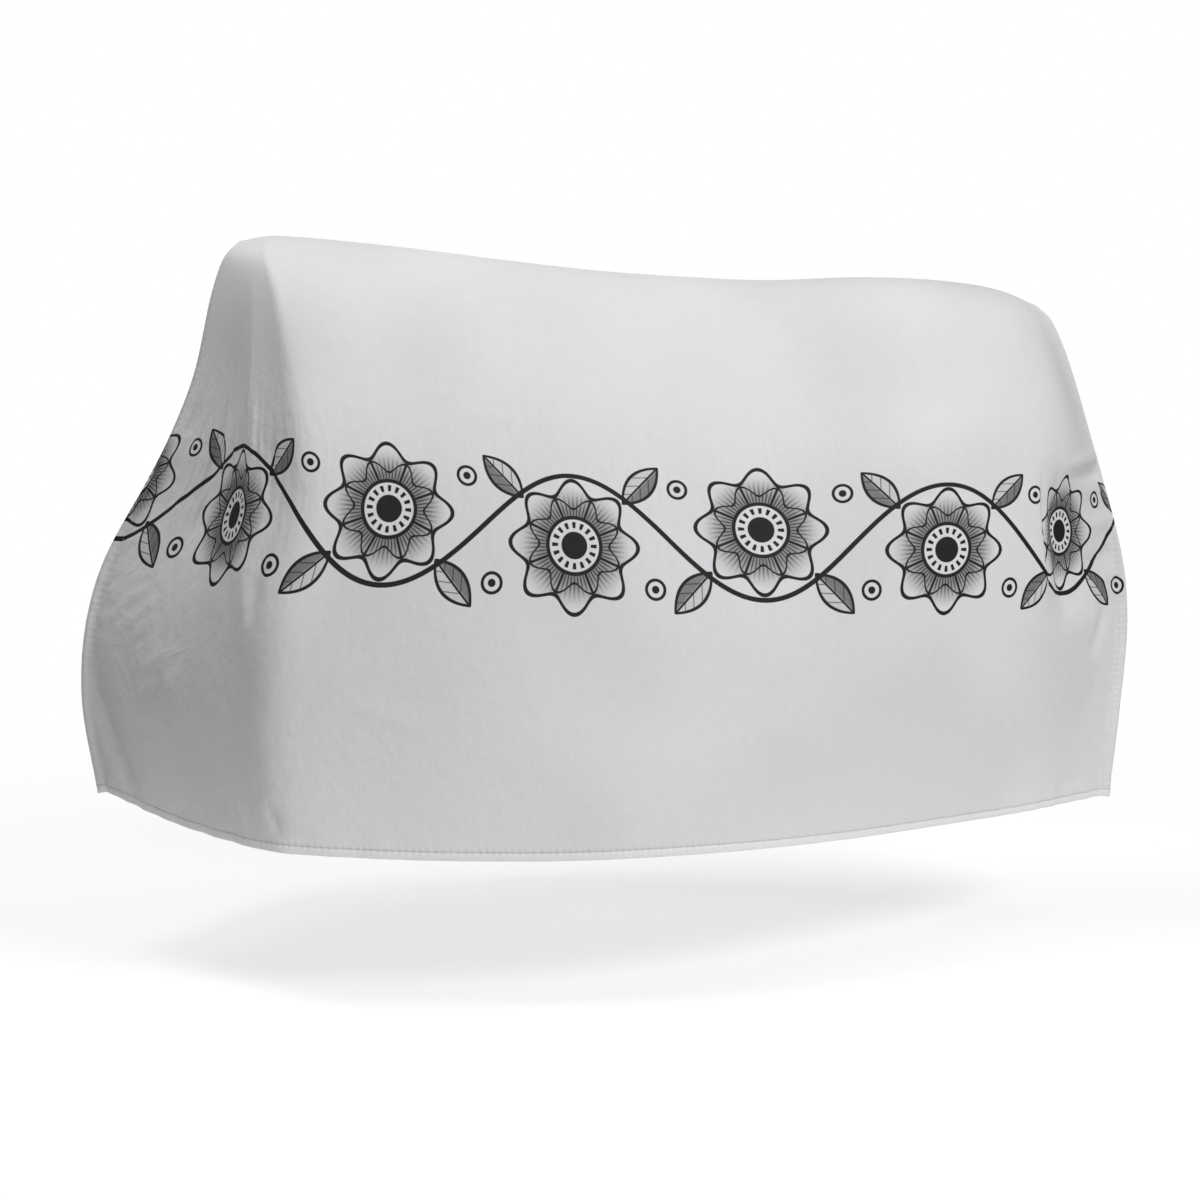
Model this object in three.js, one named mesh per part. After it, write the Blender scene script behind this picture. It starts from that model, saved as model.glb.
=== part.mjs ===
// A thin film cover, in the shape in which it hangs over what it protects. It is a single sheet, folded
// along the top, sewn up at the front and rear with the sewn edges standing out as a fin, and hemmed
// along the open bottom. Millimetres, +Z up, the front end towards -X.
// The origin is on the inside of the top fold, midway along.
import * as THREE from 'three';
import { ParametricGeometry } from 'three/addons/geometries/ParametricGeometry.js';
import { mergeVertices } from 'three/addons/utils/BufferGeometryUtils.js';

const { lerp, smoothstep } = THREE.MathUtils;

// Sheet and sewing
const SHEET = 2;
const CUT_LENGTH = 2000; // along the hem, from one end seam to the other
const CUT_DROP = 1040; // down the cloth, from the top fold to the hem
const HEM_WIDTH = 15;
const HEM_STEP = 3; // height of the slope onto the turned hem
const HEM_PROUD = 0.8; // how far the turned hem stands out, outside and again inside
const FIN_WIDTH = 14; // the sewn edges past each end seam
const FIN_FROM = 0.4; // places down the cloth, as shares of the drop, where the fin starts
const FIN_FULL = 0.62; // and where it has its full width
const SEAM_DEPTH = 6; // filled corner behind each end seam

// Places along the cloth, as shares of its length from the front seam to the rear seam
const FRONT_SEAM = 0;
const CORNER = 0.215; // where the front face turns into the long side
const ROUND_STEPS = 10; // places whose average rounds the corner
const ROUND_RUN_OUT = 2.2; // how many times its reach from the corner the rounding ends
const CORNER_RUN_IN = 0.08; // stretch before the corner where the long side's line is drawn on
const MIDDLE = 0.52;
const QUARTER = 0.845; // where the long side turns towards the rear seam
const REAR_SEAM = 1;
const MIDDLE_X = 50;

const NEAR = -1;
const FAR = 1;

function table(columns, ...rows) {
  return rows.map((row) => Object.fromEntries(columns.map((name, i) => [name, row[i]])));
}

// Plan outline of one side at several places down the cloth. down is a share of the drop along the
// cloth, depth a share of the height, and Y is measured out from the middle plane. cheek is how far the
// front face bows out, or in where it is negative. round is how far the corner is rounded each way, as a
// share of the length.
const LEVELS = table(
  [
    'down', 'depth', 'frontX', 'cornerX', 'cornerY', 'cheek', 'round',
    'middleY', 'quarterX', 'quarterY', 'rearX',
  ],
  [0.00, 0.00, -588, -540, 0, 0, 0.030, 0, 640, 0, 755],
  [0.07, 0.03, -614, -547, 75, 0, 0.030, 65, 660, 60, 783],
  [0.14, 0.09, -633, -537, 145, 0, 0.026, 122, 676, 108, 808],
  [0.30, 0.25, -668, -520, 238, 0, 0.022, 226, 695, 175, 855],
  [0.48, 0.43, -738, -513, 300, -3, 0.024, 303, 692, 200, 900],
  [0.66, 0.63, -820, -560, 328, -1, 0.024, 358, 682, 203, 921],
  [0.83, 0.81, -843, -577, 335, 11, 0.026, 394, 668, 190, 912],
  [1.00, 1.00, -821, -563, 335, 13, 0.030, 417, 647, 170, 895],
);

// The top fold, highest over the front, sagging in the middle and dropping at the rear
const RIDGE = table(
  ['x', 'z'],
  [-588, 49],
  [-540, 57],
  [-490, 55],
  [-330, 40],
  [-165, 20],
  [0, 2],
  [170, -9],
  [270, -13],
  [460, -8],
  [600, -15],
  [690, -30],
  [755, -55],
);

const HEM = table(
  ['along', 'z'],
  [0.000, -845],
  [0.110, -870],
  [0.215, -884],
  [0.300, -893],
  [0.420, -895],
  [0.520, -893],
  [0.700, -899],
  [0.845, -905],
  [1.000, -912],
);

// Main folds, each a straight line on the flat sheet from one place to another, as shares of its length
// and drop. rise is outwards in millimetres, so a trough is negative. Each fold runs out at its ends.
const FOLDS = table(
  ['side', 'along', 'down', 'toAlong', 'toDown', 'width', 'rise'],
  [NEAR, 0.073, 0.10, 0.080, 0.48, 66, -9],
  [NEAR, 0.095, 0.42, 0.140, 0.72, 48, -5],
  [NEAR, 0.138, 0.08, 0.148, 0.52, 46, 13],
  [NEAR, 0.147, 0.40, 0.200, 0.82, 44, 10],
  [NEAR, 0.064, 0.30, 0.086, 0.60, 18, -6],
  [NEAR, 0.094, 0.56, 0.150, 0.86, 34, -4],
  [NEAR, 0.158, 0.91, 0.240, 1.03, 20, -4],
  [NEAR, 0.887, 0.35, 0.914, 0.68, 72, -26],
  [NEAR, 0.846, 0.33, 0.868, 0.64, 26, 5],
  [NEAR, 0.990, 0.34, 0.868, 0.39, 16, 6],
  [NEAR, 0.985, 0.60, 0.950, 0.74, 18, -6],
  [FAR, 0.112, 0.20, 0.140, 0.62, 24, -13],
  [FAR, 0.150, 0.22, 0.168, 0.58, 26, 8],
  [FAR, 0.074, 0.28, 0.090, 0.66, 20, -8],
  [FAR, 0.128, 0.55, 0.172, 0.93, 32, -9],
  [FAR, 0.330, 0.42, 0.352, 1.10, 60, -10],
  [FAR, 0.560, 0.50, 0.548, 1.12, 70, -9],
  [FAR, 0.838, 0.36, 0.852, 0.66, 30, -11],
  [FAR, 0.985, 0.42, 0.880, 0.46, 18, 5],
  [FAR, 0.930, 0.66, 0.950, 1.06, 34, -7],
);
const FOLD_RUN_OUT = 0.3; // share of a fold's length over which it grows
const FOLD_CLEAR = 0.05; // share of the sheet beside the seams and the top fold that stays plain

// Steps of the grid along the cloth and down it, closer where the folds are
const COLUMN_RUNS = table(['to', 'steps'], [0.06, 3], [0.21, 17], [0.30, 4], [0.83, 12], [1.00, 10]);
const ROW_RUNS = table(['to', 'steps'], [0.14, 5], [0.36, 6], [0.72, 9], [1 - HEM_WIDTH / CUT_DROP, 6]);

// A curve through the other columns of a table, read at any value of its key column
function smoothTable(rows, key) {
  const names = Object.keys(rows[0]).filter((name) => name !== key);
  const places = rows.map((row) => row[key]);
  const values = rows.flatMap((row) => names.map((name) => row[name]));
  const curve = new THREE.CubicInterpolant(places, values, names.length);
  return (place) => {
    const found = curve.evaluate(place);
    return Object.fromEntries(names.map((name, i) => [name, found[i]]));
  };
}

// The outline goes on over the fold as its own mirror image, so the cloth is round there.
function overFold({ down, cornerY, middleY, quarterY, ...rest }) {
  return { ...rest, down: -down, cornerY: -cornerY, middleY: -middleY, quarterY: -quarterY };
}

const levelAt = smoothTable([overFold(LEVELS[2]), overFold(LEVELS[1]), ...LEVELS], 'down');
const ridgeAt = smoothTable(RIDGE, 'x');
const hemAt = smoothTable(HEM, 'along');

// One point of a plan outline while its corner is sharp: the front face, then the long side
function sharpPoint(along, level) {
  const front = new THREE.Vector2(level.frontX, 0);
  const corner = new THREE.Vector2(level.cornerX, level.cornerY);
  if (along <= CORNER) {
    const share = Math.max(along, 0) / CORNER;
    const across = corner.clone().sub(front).normalize();
    const outward = new THREE.Vector2(-across.y, across.x);
    const bow = 4 * share * (1 - share) * level.cheek;
    return front.lerp(corner, share).addScaledVector(outward, bow);
  }
  const middle = new THREE.Vector2(MIDDLE_X, level.middleY);
  const quarter = new THREE.Vector2(level.quarterX, level.quarterY);
  const rear = new THREE.Vector2(level.rearX, 0);
  const runIn = corner.clone().lerp(middle, -CORNER_RUN_IN / (MIDDLE - CORNER));
  const stations = [CORNER - CORNER_RUN_IN, CORNER, MIDDLE, QUARTER, REAR_SEAM];
  const points = [runIn, corner, middle, quarter, rear].flatMap((point) => point.toArray());
  return new THREE.Vector2(...new THREE.CubicInterpolant(stations, points, 2).evaluate(along));
}

// The same with the corner rounded, as the average over a stretch that gets shorter away from it
function planPoint(along, level) {
  const away = Math.abs(along - CORNER) / level.round;
  const reach = level.round * (1 - smoothstep(away, 1, ROUND_RUN_OUT));
  const sum = new THREE.Vector2();
  let whole = 0;
  for (let i = 0; i <= ROUND_STEPS; i += 1) {
    const step = lerp(-1, 1, i / ROUND_STEPS);
    const weight = 1 - 0.9 * step * step;
    sum.addScaledVector(sharpPoint(along + reach * step, level), weight);
    whole += weight;
  }
  return sum.divideScalar(whole);
}

function smoothPoint(side, along, down) {
  const level = levelAt(down);
  const plan = planPoint(along, level);
  const top = ridgeAt(planPoint(along, LEVELS[0]).x).z;
  const z = lerp(top, hemAt(along).z, level.depth);
  return new THREE.Vector3(plan.x, side * plan.y, z);
}

function outwardAt(side, along, down) {
  const step = 0.002;
  const ahead = smoothPoint(side, Math.min(along + step, REAR_SEAM), down);
  const across = ahead.sub(smoothPoint(side, Math.max(along - step, FRONT_SEAM), down));
  const below = smoothPoint(side, along, down + step);
  const downward = below.sub(smoothPoint(side, along, down - step));
  return across.cross(downward).normalize().multiplyScalar(side);
}

const foldLines = FOLDS.map((fold) => {
  const start = new THREE.Vector3(fold.along * CUT_LENGTH, fold.down * CUT_DROP, 0);
  const end = new THREE.Vector3(fold.toAlong * CUT_LENGTH, fold.toDown * CUT_DROP, 0);
  return { ...fold, line: new THREE.Line3(start, end) };
});

function foldRise(side, along, down) {
  const here = new THREE.Vector3(along * CUT_LENGTH, down * CUT_DROP, 0);
  let rise = 0;
  for (const fold of foldLines.filter((line) => line.side === side)) {
    const share = fold.line.closestPointToPointParameter(here, true);
    const away = fold.line.at(share, new THREE.Vector3()).distanceTo(here) / fold.width;
    const grown = smoothstep(share, 0, FOLD_RUN_OUT) * smoothstep(1 - share, 0, FOLD_RUN_OUT);
    rise += fold.rise * grown * Math.exp(-away * away);
  }
  const clearOfSeams = smoothstep(along, 0, FOLD_CLEAR) * smoothstep(1 - along, 0, FOLD_CLEAR);
  return rise * clearOfSeams * smoothstep(down, 0, FOLD_CLEAR);
}

function clothPoint(side, along, down, lift) {
  const rise = foldRise(side, along, down) + lift;
  return smoothPoint(side, along, down).addScaledVector(outwardAt(side, along, down), rise);
}

// Direction out of an end seam, in the middle plane
function seamOutward(end, down) {
  const step = 0.02;
  const below = smoothPoint(NEAR, end, Math.min(down + step, 1));
  const run = below.sub(smoothPoint(NEAR, end, Math.max(down - step, 0))).normalize();
  return new THREE.Vector3(run.z, 0, -run.x).multiplyScalar(end === FRONT_SEAM ? 1 : -1);
}

// One layer of an end fin outside, from the seam to the edge, and the filled corner inside
function finPoint(column, row) {
  const grown = smoothstep(row.down, 0, FOLD_CLEAR);
  const point = smoothPoint(column.side, column.along, row.down);
  const outward = seamOutward(column.along, row.down);
  if (row.inside) {
    return point.addScaledVector(outward, -lerp(SHEET, SEAM_DEPTH, grown));
  }
  const width = column.edge ? FIN_WIDTH * smoothstep(row.down, FIN_FROM, FIN_FULL) : 0;
  point.y += column.side * (SHEET + row.lift) * grown;
  return point.addScaledVector(outward, width);
}

function stepsThrough(runs) {
  const places = [0];
  for (const { to, steps } of runs) {
    const from = places.at(-1);
    for (let i = 1; i <= steps; i += 1) places.push(lerp(from, to, i / steps));
  }
  return places;
}

// Columns once round the cover: along the near side to the rear fin, and back along the far side
function ringColumns() {
  const between = stepsThrough(COLUMN_RUNS).slice(1, -1);
  const oneSide = (side) => [
    { side, along: FRONT_SEAM, fin: true, edge: true },
    { side, along: FRONT_SEAM, fin: true },
    ...between.map((along) => ({ side, along })),
    { side, along: REAR_SEAM, fin: true },
    { side, along: REAR_SEAM, fin: true, edge: true },
  ];
  const ring = [...oneSide(NEAR), ...oneSide(FAR).reverse()];
  return [...ring, ring[0]];
}

// Rows from the fold down the inside, round the hem and up the outside
function wallRows() {
  const plain = stepsThrough(ROW_RUNS);
  const turned = [plain.at(-1) + HEM_STEP / CUT_DROP, 1];
  const outside = [
    ...plain.map((down) => ({ down, lift: 0 })),
    ...turned.map((down) => ({ down, lift: HEM_PROUD })),
  ];
  const inside = outside.map(({ down, lift }) => ({ down, lift: -SHEET - lift, inside: true }));
  return [...inside, ...outside.reverse()];
}

function closedOnly(geometry) {
  const corners = geometry.getIndex().array;
  const kept = [];
  for (let i = 0; i < corners.length; i += 3) {
    const triangle = corners.slice(i, i + 3);
    if (new Set(triangle).size === 3) kept.push(...triangle);
  }
  geometry.setIndex(kept);
  return geometry;
}

function coverGeometry() {
  const ring = ringColumns();
  const rows = wallRows();
  const place = (u, v, target) => {
    const column = ring[Math.round(u * (ring.length - 1))];
    const row = rows[Math.round(v * (rows.length - 1))];
    const point = column.fin
      ? finPoint(column, row)
      : clothPoint(column.side, column.along, row.down, row.lift);
    target.copy(point);
  };
  const sheet = new ParametricGeometry(place, ring.length - 1, rows.length - 1);
  sheet.deleteAttribute('normal');
  sheet.deleteAttribute('uv');
  const closed = closedOnly(mergeVertices(sheet, 0.001));
  closed.computeVertexNormals();
  return closed;
}

const film = new THREE.MeshStandardMaterial({ color: 0xc8c9cb, roughness: 0.42, metalness: 0 });

const coverSheet = new THREE.Mesh(coverGeometry(), film);
coverSheet.name = 'cover_sheet';

const cover = new THREE.Group();
cover.add(coverSheet);

export default cover;
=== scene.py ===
import math
import bmesh
import bpy
import numpy as np
from mathutils import Matrix, Vector, noise


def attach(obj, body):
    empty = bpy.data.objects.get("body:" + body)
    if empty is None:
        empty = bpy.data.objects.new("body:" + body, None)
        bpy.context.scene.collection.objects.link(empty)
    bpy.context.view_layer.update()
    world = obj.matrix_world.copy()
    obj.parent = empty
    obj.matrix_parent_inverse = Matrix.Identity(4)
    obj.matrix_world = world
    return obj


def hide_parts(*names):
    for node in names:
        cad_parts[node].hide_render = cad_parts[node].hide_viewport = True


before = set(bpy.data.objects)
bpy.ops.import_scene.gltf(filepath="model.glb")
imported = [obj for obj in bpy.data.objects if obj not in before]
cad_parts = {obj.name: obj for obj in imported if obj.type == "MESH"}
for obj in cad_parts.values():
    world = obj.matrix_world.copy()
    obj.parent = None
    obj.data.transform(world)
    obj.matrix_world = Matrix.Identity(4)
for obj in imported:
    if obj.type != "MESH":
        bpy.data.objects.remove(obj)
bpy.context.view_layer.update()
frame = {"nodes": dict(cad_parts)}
print("frame loaded:", ", ".join(frame["nodes"]))


# the cut sheet, metres where nothing else is said
cutSheet = {
    "length": 2.0,              # along the hem, front seam to rear seam
    "drop": 1.04,               # top fold to hem
    "thick": 0.0009,
    "hem": 0.0135,              # stitch row above the hem edge
    "fin": 0.014,               # sewn edge past each end seam
    "finTop": 0.0015,           # what is left of it towards the top fold
    "finStarts": (0.02, 0.14),  # shares of the drop where it begins
    "finWidens": (0.40, 0.62),  # and where it widens
    "layerGap": 0.0002,         # between the two layers in the fin
    "hemGap": 0.0005,           # and more for each mm of lift in the turned hem
    "hemFrom": 0.97,            # share of the drop where the turned hem begins
    "topFree": 0.05,            # share below the top fold without folds
    "frontFree": 0.008,         # shares beside the end seams without folds
    "rearFree": 0.010,
    "turnFree": 0.012,          # share beside the end seams where the turned hem lies flat
}

# how it hangs, millimetres; along and down are shares of the cut
hangLine = {
    "corner": 0.215,
    "runIn": 0.08,
    "middle": 0.52,
    "quarter": 0.845,
    "middleX": 50,
    "roundSteps": 11,           # places in the average round the corner
    "roundFade": 2.2,           # reaches of the average over which it fades
    "roundWeight": 0.9,         # how much less its ends count
    # down, depth, frontX, cornerX, cornerY, cheek, round, middleY, quarterX, quarterY, rearX
    "levels": [
        (0.00, 0.00, -588, -540, 0, 0, 0.030, 0, 640, 0, 755),
        (0.07, 0.03, -614, -547, 75, 0, 0.030, 65, 660, 60, 783),
        (0.14, 0.09, -633, -537, 145, 0, 0.026, 122, 676, 108, 808),
        (0.30, 0.25, -668, -520, 238, 0, 0.022, 226, 695, 175, 855),
        (0.48, 0.43, -738, -513, 300, -3, 0.024, 303, 692, 200, 900),
        (0.66, 0.63, -820, -560, 328, -1, 0.024, 358, 682, 203, 921),
        (0.83, 0.81, -843, -577, 335, 11, 0.026, 394, 668, 190, 912),
        (1.00, 1.00, -821, -563, 335, 13, 0.030, 417, 647, 170, 895),
    ],
    # x, z of the top fold
    "ridge": [
        (-588, 49), (-540, 57), (-490, 55), (-330, 40), (-165, 20), (0, 2),
        (170, -9), (270, -13), (460, -8), (600, -15), (690, -30), (755, -55),
    ],
    # along, z of the hem
    "hem": [
        (0.0, -845), (0.11, -870), (0.215, -884), (0.30, -893), (0.42, -895),
        (0.52, -893), (0.70, -899), (0.845, -905), (1.0, -912),
    ],
}

near, far = -1, 1

# folds, listed one by one: side, rise mm, width towards the front mm, width towards the rear mm,
# sharpness, places
foldLines = [
    # front face, upper
    (near, -9, 75, 62, 2.0, [(0.075, 0.12), (0.072, 0.25), (0.074, 0.37), (0.088, 0.48), (0.125, 0.66)]),
    (near, 19, 46, 90, 1.35, [
        (0.1360, 0.08), (0.1390, 0.22), (0.1420, 0.34), (0.1460, 0.43), (0.1560, 0.517), (0.1710, 0.585),
        (0.1860, 0.645), (0.1940, 0.715), (0.2000, 0.807)]),
    (near, 4.5, 8, 8, 1.4, [(0.1030, 0.32), (0.1087, 0.395), (0.1200, 0.50)]),
    (near, -4, 8, 8, 1.4, [(0.0825, 0.255), (0.0900, 0.40)]),
    (near, -4, 7, 7, 1.4, [(0.0700, 0.31), (0.0775, 0.43)]),
    (near, -3, 9, 9, 1.6, [(0.0163, 0.30), (0.0375, 0.43)]),
    (near, 2, 5, 5, 1.5, [(0.012, 0.38), (0.016, 0.46)]),
    (near, 2, 5, 5, 1.5, [(0.022, 0.37), (0.026, 0.46)]),
    (near, -4, 17, 17, 2.0, [(0.064, 0.30), (0.086, 0.60)]),
    (near, 2.6, 9, 9, 1.6, [(0.040, 0.36), (0.052, 0.58)]),
    (near, -5, 8, 8, 1.4, [(0.1762, 0.35), (0.1775, 0.51)]),
    (near, 3.4, 7, 7, 1.4, [(0.1512, 0.31), (0.1525, 0.44)]),
    # front face, lower
    (near, -4.4, 8, 8, 1.4, [(0.1837, 0.575), (0.2000, 0.67)]),
    (near, -4, 7, 7, 1.4, [(0.1888, 0.55), (0.1988, 0.645)]),
    (near, -5, 9, 9, 1.4, [(0.148, 0.57), (0.165, 0.68)]),
    (near, -4, 9, 9, 1.4, [(0.110, 0.57), (0.122, 0.68)]),
    (near, 3.6, 7, 7, 1.4, [(0.013, 0.708), (0.053, 0.635)]),
    (near, 4.0, 7, 7, 1.4, [(0.021, 0.730), (0.075, 0.648)]),
    (near, 3.4, 7, 7, 1.4, [(0.042, 0.733), (0.075, 0.676)]),
    (near, 3.6, 7, 7, 1.4, [(0.060, 0.780), (0.098, 0.726)]),
    (near, 3.6, 7, 7, 1.4, [(0.089, 0.815), (0.115, 0.752)]),
    (near, 3.2, 7, 7, 1.4, [(0.059, 0.828), (0.087, 0.777)]),
    (near, -3.2, 7, 7, 1.4, [(0.074, 0.826), (0.100, 0.770)]),
    (near, -8, 62, 70, 2.0, [(-0.140, 0.825), (0.030, 0.835), (0.240, 0.860)]),
    (near, -3, 22, 22, 2.0, [(0.036, 0.70), (0.062, 0.86)]),
    (near, -3, 30, 30, 2.0, [(0.100, 0.62), (0.140, 0.86)]),
    (near, -14, 11, 46, 2.0, [
        (0.0060, 0.80), (0.0125, 0.880), (0.0200, 0.925), (0.0300, 0.960), (0.046, 1.03)]),
    (near, -4.0, 8, 8, 1.4, [(0.1600, 0.920), (0.1650, 0.965)]),
    (near, 4.2, 8, 8, 1.4, [(0.1700, 0.920), (0.1800, 0.943), (0.1870, 0.985)]),
    (near, -4.2, 8, 8, 1.4, [(0.2060, 0.928), (0.2150, 0.950), (0.2220, 0.985)]),
    # rear quarter
    (near, -28, 54, 130, 1.9, [(0.886, 0.35), (0.889, 0.43), (0.893, 0.48), (0.900, 0.54), (0.918, 0.68)]),
    (near, 6, 45, 10, 1.5, [
        (0.8438, 0.33), (0.8463, 0.413), (0.8500, 0.468), (0.8575, 0.535), (0.8762, 0.65)]),
    (near, -7, 6, 12, 1.5, [
        (0.8490, 0.37), (0.8515, 0.42), (0.8550, 0.475), (0.8625, 0.54), (0.8800, 0.63)]),
    (near, 9, 9, 9, 1.6, [(0.865, 0.393), (0.906, 0.378), (0.961, 0.365), (1.12, 0.322)]),
    (near, -9, 9, 9, 1.6, [(0.874, 0.422), (0.916, 0.408), (0.974, 0.395), (1.12, 0.355)]),
    (near, 4, 8, 8, 1.6, [(0.935, 0.432), (1.02, 0.412)]),
    (near, 5, 12, 12, 1.8, [(0.945, 0.500), (1.02, 0.472)]),
    (near, -5, 10, 10, 1.6, [(0.940, 0.565), (1.02, 0.530)]),
    (near, 3.5, 8, 8, 1.5, [(0.945, 0.605), (1.02, 0.572)]),
    (near, -6, 18, 18, 2.0, [(0.985, 0.60), (0.950, 0.74)]),
    (near, -3, 12, 12, 1.6, [(0.90, 0.962), (0.99, 0.958)]),
    # long side
    (near, 2.0, 9, 9, 1.5, [(0.27, 0.765), (0.336, 0.808)]),
    (near, 1.6, 9, 9, 1.5, [(0.573, 0.804), (0.624, 0.824)]),
    (near, 1.4, 8, 8, 1.5, [(0.300, 0.300), (0.375, 0.285)]),
    (near, 1.2, 8, 8, 1.5, [(0.330, 0.325), (0.400, 0.318)]),
    (near, 1.6, 9, 9, 1.5, [(0.420, 0.395), (0.452, 0.460)]),
    # far side, guessed
    (far, -13, 24, 24, 2.0, [(0.112, 0.20), (0.140, 0.62)]),
    (far, 8, 26, 26, 2.0, [(0.150, 0.22), (0.168, 0.58)]),
    (far, 4, 9, 24, 1.4, [(0.128, 0.24), (0.140, 0.52)]),
    (far, -8, 20, 20, 2.0, [(0.074, 0.28), (0.090, 0.66)]),
    (far, -9, 32, 32, 2.0, [(0.128, 0.55), (0.172, 0.93)]),
    (far, -10, 60, 60, 2.0, [(0.330, 0.42), (0.352, 1.10)]),
    (far, -9, 70, 70, 2.0, [(0.560, 0.50), (0.548, 1.12)]),
    (far, -11, 30, 30, 2.0, [(0.838, 0.36), (0.852, 0.66)]),
    (far, 5, 18, 18, 2.0, [(0.985, 0.42), (0.880, 0.46)]),
    (far, -7, 34, 34, 2.0, [(0.930, 0.66), (0.950, 1.06)]),
    (far, 3, 10, 10, 1.5, [(0.190, 0.60), (0.225, 0.90)]),
    (far, 2.5, 10, 10, 1.5, [(0.44, 0.62), (0.47, 0.86)]),
    (far, 3, 10, 10, 1.5, [(0.70, 0.66), (0.66, 0.92)]),
]


def throughTable(rows, places):
    table = np.array(rows, float)
    keys, values = table[:, 0], table[:, 1:]
    secants = np.diff(values, axis=0) / np.diff(keys)[:, None]
    slopes = np.vstack([secants[:1], (secants[1:] + secants[:-1]) / 2, secants[-1:]])
    places = np.atleast_1d(np.asarray(places, float))
    i = np.clip(np.searchsorted(keys, places, side="right") - 1, 0, len(keys) - 2)
    span = (keys[i + 1] - keys[i])[:, None]
    t = np.clip((places - keys[i])[:, None] / span, 0, 1)
    start = (2 * t**3 - 3 * t**2 + 1) * values[i] + (t**3 - 2 * t**2 + t) * span * slopes[i]
    return start + (3 * t**2 - 2 * t**3) * values[i + 1] + (t**3 - t**2) * span * slopes[i + 1]


def easeIn(value, low, high):
    t = np.clip((value - low) / (high - low), 0, 1)
    return t * t * (3 - 2 * t)


def sharpLine(alongs, level):
    _, frontX, cornerX, cornerY, cheek, _, middleY, quarterX, quarterY, rearX = level
    h = hangLine
    share = np.clip(alongs / h["corner"], 0, 1)
    run = math.hypot(cornerX - frontX, cornerY)
    bow = 4 * share * (1 - share) * cheek
    faceX = frontX + (cornerX - frontX) * share - bow * cornerY / run
    faceY = cornerY * share + bow * (cornerX - frontX) / run
    back = h["runIn"] / (h["middle"] - h["corner"])
    runInX = cornerX - (h["middleX"] - cornerX) * back
    runInY = cornerY - (middleY - cornerY) * back
    side = throughTable([
        (h["corner"] - h["runIn"], runInX, runInY),
        (h["corner"], cornerX, cornerY),
        (h["middle"], h["middleX"], middleY),
        (h["quarter"], quarterX, quarterY),
        (1, rearX, 0),
    ], alongs)
    turned = alongs > h["corner"]
    return np.where(turned, side[:, 0], faceX), np.where(turned, side[:, 1], faceY)


def planLine(alongs, level):    # the sharp line, averaged over a stretch round the corner
    h = hangLine
    soft = level[5]
    steps = np.linspace(-1, 1, h["roundSteps"])
    reach = soft * (1 - easeIn(abs(alongs - h["corner"]), soft, soft * h["roundFade"]))
    weights = 1 - steps**2 * h["roundWeight"]
    sumX, sumY = 0, 0
    for step, weight in zip(steps, weights / weights.sum()):
        x, y = sharpLine(alongs + reach * step, level)
        sumX, sumY = sumX + x * weight, sumY + y * weight
    return sumX, sumY


def mirrorLevel(row):
    down, depth, frontX, cornerX, cornerY, cheek, soft, middleY, quarterX, quarterY, rearX = row
    return (-down, depth, frontX, cornerX, -cornerY, cheek, soft, -middleY, quarterX, -quarterY, rearX)


def hangingSide(downs, alongs):    # smooth far side as rows of points, metres
    rows = hangLine["levels"]
    levels = throughTable([mirrorLevel(rows[2]), mirrorLevel(rows[1])] + rows, downs)
    topX, _ = planLine(alongs, rows[0][1:])
    topZ = throughTable(hangLine["ridge"], topX)[:, 0]
    hemZ = throughTable(hangLine["hem"], alongs)[:, 0]
    lines = []
    for level in levels:
        x, y = planLine(alongs, level)
        lines.append(np.stack([x, y, topZ + (hemZ - topZ) * level[0]], -1))
    return np.array(lines) / 1000


def outwardOf(downs, alongs):
    step = 0.002                # share of the cut
    ahead = hangingSide(downs, np.minimum(alongs + step, 1))
    behind = hangingSide(downs, np.maximum(alongs - step, 0))
    below = hangingSide(downs + step, alongs) - hangingSide(downs - step, alongs)
    out = np.cross(ahead - behind, below)
    return out / np.linalg.norm(out, axis=2, keepdims=True)


# how each fold rises and ends
foldShape = {
    "flank": 0.4,               # share of its width where one flank passes into the other
    "growIn": 0.45,             # share of its length in which it rises
    "fadeOut": 0.3,             # and in which it fades
    "blunt": 1.0,               # rounds its crest, square mm
    "hemHold": 0.75,            # share that the turned hem takes out
    "hemStarts": (0.955, 0.99),
}


def foldRise(side, alongs, downs):    # millimetres
    flatX = alongs * cutSheet["length"] * 1000
    flatY = downs * cutSheet["drop"] * 1000
    f = foldShape
    total = np.zeros_like(flatX)
    for owner, rise, before, after, sharp, places in foldLines:
        if owner != side:
            continue
        points = np.array(places) * (cutSheet["length"] * 1000, cutSheet["drop"] * 1000)
        lengths = np.linalg.norm(np.diff(points, axis=0), axis=1)
        whole, done = lengths.sum(), 0
        nearest = np.full(flatX.shape, 1e9)
        share = np.zeros_like(flatX)
        signed = np.zeros_like(flatX)
        for start, end, length in zip(points[:-1], points[1:], lengths):
            way = (end - start) / length
            t = np.clip((flatX - start[0]) * way[0] + (flatY - start[1]) * way[1], 0, length)
            dx, dy = flatX - start[0] - t * way[0], flatY - start[1] - t * way[1]
            away = np.hypot(dx, dy)
            closer = away < nearest
            nearest = np.where(closer, away, nearest)
            share = np.where(closer, (done + t) / whole, share)
            signed = np.where(closer, dx * way[1] - dy * way[0], signed)
            done += length
        width = before + (after - before) * easeIn(signed, -f["flank"] * before, f["flank"] * after)
        grown = easeIn(share, 0, f["growIn"]) * easeIn(1 - share, 0, f["fadeOut"])
        total += rise * grown * np.exp(-((nearest**2 + f["blunt"]) ** 0.5 / width) ** sharp)
    return total * (1 - f["hemHold"] * easeIn(downs, *f["hemStarts"]))


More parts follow.
